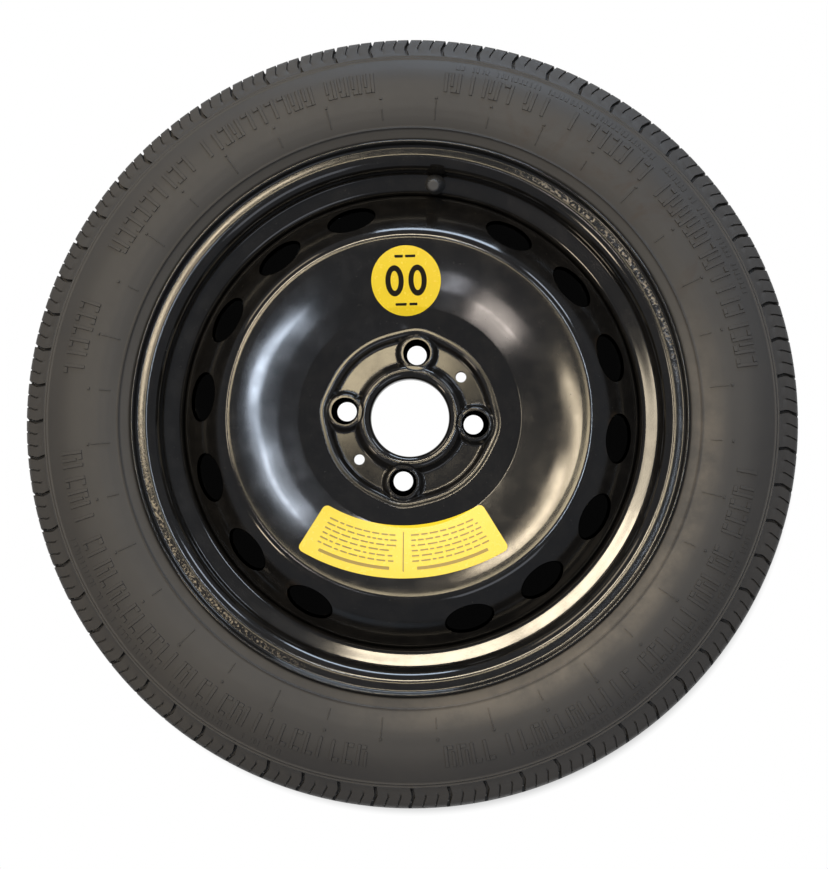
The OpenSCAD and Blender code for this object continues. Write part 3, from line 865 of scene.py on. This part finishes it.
def tyre_row(k):
    """Points of one row of the tyre, and whether the row has the fine angles of the slots."""
    (r, z), last = tyre_path[k], len(tyre_path)
    tangent = unit(tyre_path[(k + 1) % last] - tyre_path[k - 1])
    out = np.array([-tangent[1], tangent[0]])
    outer = k < OUTER_ROWS
    fine = outer and abs(z) > GROOVE_Z + GROOVE_WIDTH / 2 + 1 and r > DECOR_R
    marks = MARKS if fine else MARKS[COARSE]
    shift = slot_kink(r) + (0 if z > 0 else PITCH / 2) if outer else PITCH / 4
    angles = (np.arange(BLOCKS)[:, None] * PITCH + marks[:, 0] + shift).ravel()
    deep = 0.0
    if fine:
        # Slots and sipes fade out towards the grooves and towards the sidewall's raised line
        away = ramp(abs(z), 27, 28.5) * ramp(r, DECOR_R + 1.5, DECOR_R + 5)
        short = ramp(abs(z), 34, 36) * ramp(r, DECOR_R + 6, DECOR_R + 9)
        deep = np.tile(marks[:, 1] * away * SLOT_DEPTH + marks[:, 2] * short * SIPE_DEPTH, BLOCKS)
    rise = (wall_height(r, z) if outer else 0.0) - deep
    rr, zz = r + rise * out[0], z + rise * out[1]
    return np.column_stack([rr * np.cos(angles), rr * np.sin(angles), zz + 0 * angles]), fine


def make_tyre():
    """The tyre as one closed mesh. Where fine and coarse rows meet, one segment meets several short ones."""
    shape, rows = Shape(), []
    for k in range(len(tyre_path)):
        points, fine = tyre_row(k)
        rows.append((shape.add(points, points), fine))
    per = len(MARKS) // len(COARSE)
    for (near, near_fine), (far, far_fine) in zip(rows, rows[1:] + rows[:1]):
        if near_fine == far_fine:
            shape.rows(near, far)
            continue
        many, few = (near, far) if near_fine else (far, near)
        for i in range(len(few)):
            run = [many[(COARSE[0] + i * per + j) % len(many)] for j in range(per + 1)]
            a, b = few[i], few[(i + 1) % len(few)]
            shape.faces.append([a, b, *run[::-1]] if near_fine else [a, *run, b])
    return shape.mesh("moulded_tyre", rubber, slot="tyre_rubber", custom=False)


tyre = make_tyre()
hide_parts("tyre")

outside = outer_half[(outer_half[:, 0] > FLANGE_R + 3) & (outer_half[:, 1] > TREAD_HALF)]


def wall_point(r, angle, lift):
    """A point over the upper sidewall, by its height over the rubber."""
    before, z, after = np.interp([r - 0.5, r, r + 0.5], outside[:, 0], outside[:, 1])
    slope = after - before
    n = np.array([-slope, 1.0]) / math.hypot(slope, 1)
    rr = r + lift * n[0]
    return [rr * math.cos(angle), rr * math.sin(angle), z + lift * n[1]]


def outline_of(grid):
    """The numbers round the edge of a grid of points."""
    return np.r_[grid[0, :-1], grid[:-1, -1], grid[-1, :0:-1], grid[:0:-1, 0]]


def raised_bar(shape, r0, r1, a0, a1, lift):
    """A low bar on the sidewall from r0 to r1 and from a0 to a1, with sloping sides."""
    nr = max(2, round((r1 - r0) / 4) + 1)
    na = max(2, round((a1 - a0) * r0 / 4) + 1)
    edge_r, edge_a = 0.3, 0.3 / r0
    ids = []
    for grow, height in ((0, lift), (1, -0.3)):
        rs = np.linspace(r0 - grow * edge_r, r1 + grow * edge_r, nr)
        aa = np.linspace(a0 - grow * edge_a, a1 + grow * edge_a, na)
        points = [wall_point(r, a, height) for r in rs for a in aa]
        ids.append(shape.add(points, [(0, 0, 1)] * len(points)).reshape(nr, na))
    top, foot = ids
    shape.quads(top[:-1, :-1], top[1:, :-1], top[1:, 1:], top[:-1, 1:])
    shape.rows(outline_of(foot), outline_of(top))


# Radii of the band of bars, and the height, the angle and the spacing of its bars
BAND_IN, BAND_OUT = 244.5, 259.5
BAR_LIFT = 0.85
BAR_ANGLE = 0.0085
BAR_STEP = 2 * math.pi / 180


def make_sidewall_marks():
    """Raised groups of plain bars, where such a tyre has its moulded bands, and fine radial mould lines."""
    rng = np.random.default_rng(7)
    shape = Shape()
    for start, stop in ((8, 62), (66, 84), (96, 150), (160, 172), (186, 262), (276, 350)):
        angle = math.radians(start)
        while angle < math.radians(stop):
            kind = rng.integers(0, 4)
            beside = angle + BAR_ANGLE + 0.002
            raised_bar(shape, BAND_IN, BAND_OUT, angle, angle + BAR_ANGLE, BAR_LIFT)
            if kind in (1, 3):
                raised_bar(shape, BAND_OUT - 2.5, BAND_OUT, beside, angle + 0.026, BAR_LIFT)
            if kind in (2, 3):
                raised_bar(shape, BAND_IN, BAND_IN + 2.5, beside, angle + 0.026, BAR_LIFT)
            if kind == 2:
                raised_bar(shape, BAND_IN + 4.5, BAND_OUT, angle + 0.022, angle + 0.029, BAR_LIFT)
            angle += BAR_STEP + (BAR_STEP if rng.random() < 0.12 else 0.004)
    for start, stop in ((20, 82), (200, 250), (290, 340)):
        angle = math.radians(start)
        while angle < math.radians(stop):
            if rng.random() < 0.85:
                raised_bar(shape, 263.2, 267.2, angle, angle + rng.choice([0.003, 0.008]), 0.4)
            angle += 0.014
    for degrees in range(5, 365, 10):
        reach = 14 if degrees % 20 == 5 else 8
        angle = math.radians(degrees)
        raised_bar(shape, 223, 223 + reach, angle, angle + 0.0022, 0.6)
        raised_bar(shape, 238.5, 239.7, angle - 0.002, angle + 0.0042, 1.1)
    return shape.mesh("sidewall_marks", rubber, slot="tyre_rubber", custom=False)


make_sidewall_marks()


# Stickers

FILM_T = 0.2
FILM_AT = 0.24
PRINT_T = 0.02
SPEED_R = 26
SPEED_TURN = 91.4
NOTICE_TURN = -92
SPEED_AT = (102, math.radians(SPEED_TURN))
NOTICE_MIDDLE = np.array([-4.5, 30.0])
NOTICE_IN, NOTICE_OUT = 111, 150.5
NOTICE_HALF = math.radians(31.4)
NOTICE_CORNER = 4

film_path = rounded([
    (RING_OUT_R, RING_Z, 0),
    *BOWL,
    (DISC_R, FLANK_FOOT_Z, 0),
], 9, lambda r: 1.1)


def film_place(u, v):
    return disc_place(u, v, lift=FILM_AT, path=film_path)


def print_place(u, v):
    return disc_place(u, v, lift=FILM_AT + PRINT_T, path=film_path)


def film_sheet(place, middle, half, step, keep):
    """A sheet from middle - half to middle + half, in degrees."""
    angles = np.radians(np.arange(middle - half, middle + half, step))
    return Sheet(place, len(film_path), angles, keep, closed=False)


def speed_local(p):
    """Places on the round sticker as (across, up) from its middle."""
    r, a = SPEED_AT
    up = np.array([math.cos(a), math.sin(a)])
    flat = p[:, :2] - r * up
    return flat @ [up[1], -up[0]], flat @ up


def speed_side(p):
    """Distance inside the round sticker's edge."""
    x, y = speed_local(p)
    return SPEED_R - np.hypot(x, y)


def notice_local(p):
    """Places on the curved sticker as its own radius and the angle from its middle line."""
    flat = p[:, :2] - NOTICE_MIDDLE
    return np.hypot(flat[:, 0], flat[:, 1]), np.arctan2(flat[:, 0], -flat[:, 1])


def notice_side(p):
    """Distance inside the curved sticker's edge, which has rounded corners."""
    r, a = notice_local(p)
    dr = np.abs(r - (NOTICE_IN + NOTICE_OUT) / 2) - (NOTICE_OUT - NOTICE_IN) / 2 + NOTICE_CORNER
    da = (np.abs(a) - NOTICE_HALF) * r + NOTICE_CORNER
    return NOTICE_CORNER - np.hypot(np.maximum(dr, 0), np.maximum(da, 0)) - np.minimum(np.maximum(dr, da), 0)


def box_side(x, y, cx, cy, hx, hy):
    """Distance inside a box with its middle at (cx, cy) and half sizes hx and hy."""
    return np.minimum(hx - np.abs(x - cx), hy - np.abs(y - cy))


def speed_print(p):
    """Two upright oval rings with short bars over and under them."""
    x, y = speed_local(p)
    keep = np.full(len(x), -9.0)
    for cx in (-8.6, 8.6):
        ring = np.minimum(
            (1 - np.hypot((x - cx) / 6.9, y / 11.5)) * 6.9,
            (np.hypot((x - cx) / 3.0, y / 7.3) - 1) * 3.0,
        )
        keep = np.maximum(keep, ring)
    for cx, cy, hx in ((-5, 18, 3.2), (3.6, 18, 3.8), (-4.2, -17.5, 4.2), (5, -17.5, 3.0)):
        keep = np.maximum(keep, box_side(x, y, cx, cy, hx, 1.0))
    return np.minimum(keep, speed_side(p) - 1.5)


def notice_print():
    """Rows of short broken bars in two columns, with a heavier bar over each."""
    rng = np.random.default_rng(3)
    bars = []
    for column in (-0.262, 0.262):
        bars.append((NOTICE_OUT - 7.2, column, 1.2, 0.19))
        for k in range(6):
            r, a = NOTICE_OUT - 12.6 - 3.9 * k, column - 0.215
            while a < column + 0.19:
                half = rng.uniform(0.010, 0.03)
                if a + 2 * half > column + 0.225:
                    break
                bars.append((r, a + half, 0.6, half))
                a += 2 * half + rng.uniform(0.008, 0.014)
    bars.append(((NOTICE_IN + NOTICE_OUT) / 2, 0.0, 15.0, 0.0035))
    r0, a0, hr, ha = np.array(bars).T

    def keep(p):
        r, a = notice_local(p)
        side = np.minimum(hr - np.abs(r[:, None] - r0), (ha - np.abs(a[:, None] - a0)) * r[:, None])
        return np.minimum(side.max(1), notice_side(p) - 1)

    return keep


def film_steps(middle):
    return [(0.03, 0.03, 0.7, 0.7), (0.03, FILM_T, 1, 0)]


def print_steps(middle):
    return [(0.004, 0.004, 0.7, 0.7), (0.004, PRINT_T, 1, 0)]


def make_film(name, place, thickness, steps, material, middle, half, step, keep, node=None):
    sheet = film_sheet(place, middle, half, step, keep)
    piece = pressed(sheet, place, thickness, steps, material, name, "sticker_film", None)
    if node:
        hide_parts(node)
    return piece


film = (film_place, FILM_T, film_steps, yellow)
make_film("speed_film", *film, SPEED_TURN, 16.5, 0.5, speed_side, "speed_sticker")
make_film("notice_film", *film, NOTICE_TURN, 46, 0.5, notice_side, "notice_sticker")
make_film("speed_print", print_place, PRINT_T, print_steps, ink, SPEED_TURN, 16, 0.25, speed_print)
make_film("notice_print", print_place, PRINT_T, print_steps, thin_ink, NOTICE_TURN, 41, 0.25, notice_print())


# Valve and welds

FINISHES = {
    "disc_welds": paint,
    "valve_body": make_plain("valve_rubber", (0.03, 0.03, 0.03), 0.55),
    "valve_stem": make_plain("valve_brass", (0.60, 0.43, 0.18), 0.32, 1.0, 0.2, 900),
    "core_barrel": make_plain("core_brass", (0.62, 0.47, 0.22), 0.3, 1.0, 0.2, 900),
    "core_pin": make_plain("pin_brass", (0.64, 0.48, 0.24), 0.28, 1.0, 0.2, 900),
    "core_gasket": make_plain("core_seal", (0.25, 0.03, 0.02), 0.5),
    "core_spring": make_plain("spring_steel", (0.55, 0.55, 0.57), 0.3, 1.0, 0.15, 900),
    "valve_cap": make_plain("cap_plastic", (0.05, 0.05, 0.05), 0.45, mottle=0.4, scale=600),
}
FINISHES["core_cup_seal"] = FINISHES["cap_seal"] = FINISHES["core_gasket"]
for node, material in FINISHES.items():
    data = frame["nodes"][node].data
    data.materials.clear()
    data.materials.append(material)


# Camera, floor and light

IMAGE_H = 869
SENSOR = 36
FLOOR_HALF = 40
FLOOR_GAP = 0.0003
FOCAL_PX = 2404.2
CAMERA_AT = (73.55, -190.73, 1826.6)
CAMERA_YAW, CAMERA_PITCH = -0.0395, -0.0994


def make_camera():
    """The camera that was matched to the photograph."""
    data = bpy.data.cameras.new("camera")
    data.sensor_width = SENSOR
    data.lens = SENSOR * FOCAL_PX / IMAGE_H
    data.clip_end = 50
    camera = bpy.data.objects.new("camera", data)
    bpy.context.scene.collection.objects.link(camera)
    turn = Matrix.Rotation(CAMERA_PITCH, 3, "X") @ Matrix.Rotation(CAMERA_YAW, 3, "Y")
    camera.matrix_world = Matrix.Translation(Vector(CAMERA_AT) * MM) @ turn.transposed().to_4x4()
    bpy.context.scene.camera = camera


def make_floor():
    """A floor that looks white in the open and through the bore, and black under the wheel, where a painted
    shadow stands in for the wheel's shade.
    """
    data = bpy.data.meshes.new("floor")
    half, z = FLOOR_HALF, -HALF_TYRE * MM - FLOOR_GAP
    corners = [(-half, -half, z), (half, -half, z), (half, half, z), (-half, half, z)]
    data.from_pydata(corners, [], [(0, 1, 2, 3)])
    floor = bpy.data.objects.new("floor", data)
    bpy.context.scene.collection.objects.link(floor)
    material = bpy.data.materials.new("floor")
    n = Nodes(material)
    radius = place_on_part(n)[1]
    path = n.tree.nodes.new("ShaderNodeLightPath").outputs
    seen = n.math("MAXIMUM", path["Is Camera Ray"], path["Is Glossy Ray"])
    seen = n.math("MAXIMUM", seen, path["Is Transmission Ray"])
    # Painted shadow: the glow falls to black from 0.09 m to 0.2825 m from the axle, under the wheel, so that
    # the vents look dark; it is white inside 0.07 m and outside 0.3 m.
    shade = n.steps(n.math("MULTIPLY", radius, 2.0), (0.14, 1.0), (0.18, 0.002), (0.565, 0.002), (0.6, 1.0))
    glow = n("ShaderNodeEmission", sockets={"Color": shade, "Strength": 1.0})
    matt = n("ShaderNodeBsdfDiffuse", sockets={"Color": (0.5, 0.5, 0.5, 1)})
    mix = n("ShaderNodeMixShader", sockets={0: seen, 1: matt, 2: glow})
    out = n.tree.nodes.new("ShaderNodeOutputMaterial")
    n.tree.links.new(mix, out.inputs[0])
    data.materials.append(material)


def make_world():
    """White to the camera, and a weak pale blue to all else."""
    world = bpy.data.worlds.new("world")
    bpy.context.scene.world = world
    n = Nodes(world)
    path = n.tree.nodes.new("ShaderNodeLightPath").outputs
    soft = n("ShaderNodeBackground", sockets={"Color": (0.75, 0.8, 0.9, 1), "Strength": 0.35})
    white = n("ShaderNodeBackground", sockets={"Color": (1, 1, 1, 1), "Strength": 1.0})
    mix = n("ShaderNodeMixShader", sockets={0: path["Is Camera Ray"], 1: soft, 2: white})
    out = n.tree.nodes.new("ShaderNodeOutputWorld")
    n.tree.links.new(mix, out.inputs[0])


def make_lamp(name, azimuth, elevation, distance, size, power, colour, turn=0):
    """An area lamp aimed at the wheel. Azimuth 0 is +X and 90 is +Y. turn swings its long side."""
    data = bpy.data.lights.new(name, "AREA")
    data.shape = "RECTANGLE"
    data.size, data.size_y = size
    data.energy, data.color = power, colour
    lamp = bpy.data.objects.new(name, data)
    a, e = math.radians(azimuth), math.radians(elevation)
    out = Vector((math.cos(a) * math.cos(e), math.sin(a) * math.cos(e), math.sin(e)))
    lamp.location = out * distance
    lamp.rotation_mode = "QUATERNION"
    lamp.rotation_quaternion = out.to_track_quat("Z", "Y") @ Quaternion((0, 0, 1), math.radians(turn))
    bpy.context.scene.collection.objects.link(lamp)


make_camera()
make_floor()
make_world()
# Name, azimuth, elevation, distance, size, power, colour and turn
for lamp_values in (
    ("overhead", 116, 81.4, 6.0, (0.6, 0.3), 8, (1.0, 0.84, 0.55)),
    ("cool_strip_a", 9, 82.7, 6.0, (0.75, 0.14), 11, (0.74, 0.85, 1.0), -19),
    ("cool_strip_b", 36, 79.7, 6.0, (0.75, 0.13), 7, (0.74, 0.85, 1.0), -54),
    ("cool_strip_c", 57, 75.9, 6.0, (0.7, 0.14), 11, (0.78, 0.87, 1.0), -32),
    ("warm_strip_a", 127, 75.4, 6.0, (0.8, 0.18), 17, (1.0, 0.84, 0.60)),
    ("warm_strip_b", 148, 77.7, 6.0, (0.65, 0.15), 9, (1.0, 0.84, 0.60)),
    ("pale_spot", -160, 77.6, 6.0, (0.6, 0.14), 7.5, (1.0, 0.89, 0.81), 27),
    ("pale_dot", -136, 81.2, 6.0, (0.25, 0.15), 1.2, (0.9, 0.92, 1.0)),
    ("glare", 84, 69.9, 6.0, (0.35, 0.15), 10, (1.0, 1.0, 1.0)),
    ("warm_high_a", 99, 63.6, 8.0, (1.9, 0.5), 110, (1.0, 0.86, 0.64)),
    ("warm_high_b", 131, 64, 8.0, (1.9, 0.5), 110, (1.0, 0.86, 0.64)),
    ("warm_high_c", 161, 66.4, 8.0, (1.9, 0.5), 46, (1.0, 0.86, 0.64)),
    ("warm_low", 132, 27, 3.0, (1.3, 0.6), 12, (1.0, 0.83, 0.60)),
    ("cool_window", 84, 14, 3.0, (1.8, 0.6), 44, (0.70, 0.83, 1.0)),
    ("cool_right", 48, 38, 3.0, (0.8, 0.5), 12, (0.76, 0.86, 1.0)),
    ("warm_front", -146, 41, 3.0, (0.5, 0.5), 12, (1.0, 0.84, 0.62)),
    ("cool_front", -60, 50, 3.4, (1.4, 1.0), 8, (0.85, 0.9, 1.0)),
):
    make_lamp(*lamp_values)

bpy.context.scene.view_settings.view_transform = "Standard"
